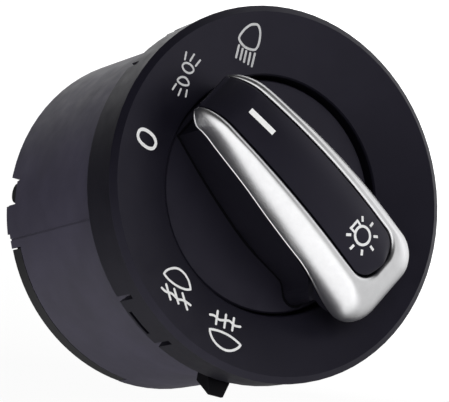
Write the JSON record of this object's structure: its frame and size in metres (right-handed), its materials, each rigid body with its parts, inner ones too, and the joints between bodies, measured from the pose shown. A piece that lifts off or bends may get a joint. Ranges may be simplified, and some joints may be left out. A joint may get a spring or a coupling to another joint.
{
  "type": "headlight switch",
  "caption": "Round dashboard headlight switch with a turn and pull knob, lit symbols, a drum housing and sprung locking claws.",
  "frame": {"origin": "on the knob's turning axis, in the plane where the rear edge of the face plate's skirt seats on the dashboard panel", "axes": "-Y out of the dial toward the driver, +Y back through the panel, +Z to the top of the dial, +X to the dial's right as the driver sees it"},
  "size_m": [0.081, 0.0717, 0.077],
  "materials": {
    "face": "satin black moulded plastic with a fine grain",
    "housing": "dark violet grey moulded plastic",
    "cover": "black moulded plastic",
    "claw": "black moulded plastic",
    "knob": "satin black moulded plastic",
    "insert": "soft-touch satin black",
    "chrome": "satin chrome plated plastic",
    "rotor": "natural low friction plastic",
    "slider": "red-brown moulded plastic",
    "board": "green board laminate",
    "copper": "bare copper alloy",
    "tin": "tinned copper alloy",
    "steel": "bright spring steel",
    "diffuser": "milky translucent plastic",
    "guide": "clear moulded plastic",
    "chip": "white lamp chip with yellow phosphor"
  },
  "bodies": {
    "housing": {"face_plate": "face", "housing": "housing", "rear_cover": "cover", "light_board": "board", "symbol_diffuser": "diffuser", "contact_board": "board", "lamp_chip_off": "chip", "lamp_chip_side": "chip", "lamp_chip_beam": "chip", "lamp_chip_front_fog": "chip", "lamp_chip_rear_fog": "chip", "lamp_chip_knob": "chip", "terminal_01": "tin", "terminal_02": "tin", "terminal_03": "tin", "terminal_04": "tin", "terminal_05": "tin", "terminal_06": "tin", "terminal_07": "tin", "terminal_08": "tin", "terminal_09": "tin", "terminal_10": "tin", "detent_leaf": "steel", "fog_rail_1": "copper", "fog_rail_2": "copper", "claw_spring_left": "steel", "claw_spring_right": "steel"},
    "rotor": {"rotor": "rotor", "contact_shoe_1": "copper", "contact_shoe_2": "copper", "contact_shoe_3": "copper", "contact_spring_1": "steel", "contact_spring_2": "steel", "contact_spring_3": "steel", "return_spring": "steel"},
    "knob": {"knob_body": "knob", "chrome_trim": "chrome", "knob_insert": "insert", "light_guide": "guide"},
    "fog_slider": {"fog_slider": "slider", "fog_wiper": "copper"},
    "claw_left": {"claw_left": "claw"},
    "claw_right": {"claw_right": "claw"}
  },
  "joints": [
    {"name": "knob_turn", "type": "hinge", "parent": "housing", "child": "rotor", "pos_m": [0, 0, 0], "axis": [0, -1, 0], "range_deg": [-30, 30], "deforming": ["detent_leaf"]},
    {"name": "knob_pull", "type": "slide", "parent": "rotor", "child": "knob", "axis": [0, -1, 0], "range_m": [-0.0025, 0.008], "deforming": ["return_spring"]},
    {"name": "slider_follow", "type": "slide", "parent": "housing", "child": "fog_slider", "axis": [0, -1, 0], "range_m": [-0.0025, 0.008]},
    {"name": "claw_left_slide", "type": "slide", "parent": "housing", "child": "claw_left", "axis": [-0.9799, 0, -0.1994], "range_m": [-0.0032, 0], "stiffness_N_per_m": 400, "springref_m": 0.002, "deforming": ["claw_spring_left"]},
    {"name": "claw_right_slide", "type": "slide", "parent": "housing", "child": "claw_right", "axis": [0.9799, 0, 0.1994], "range_m": [-0.0032, 0], "stiffness_N_per_m": 400, "springref_m": 0.002, "deforming": ["claw_spring_right"]}
  ],
  "couplings": [
    {"joint": "slider_follow", "follows": "knob_pull", "ratio": 1}
  ]
}
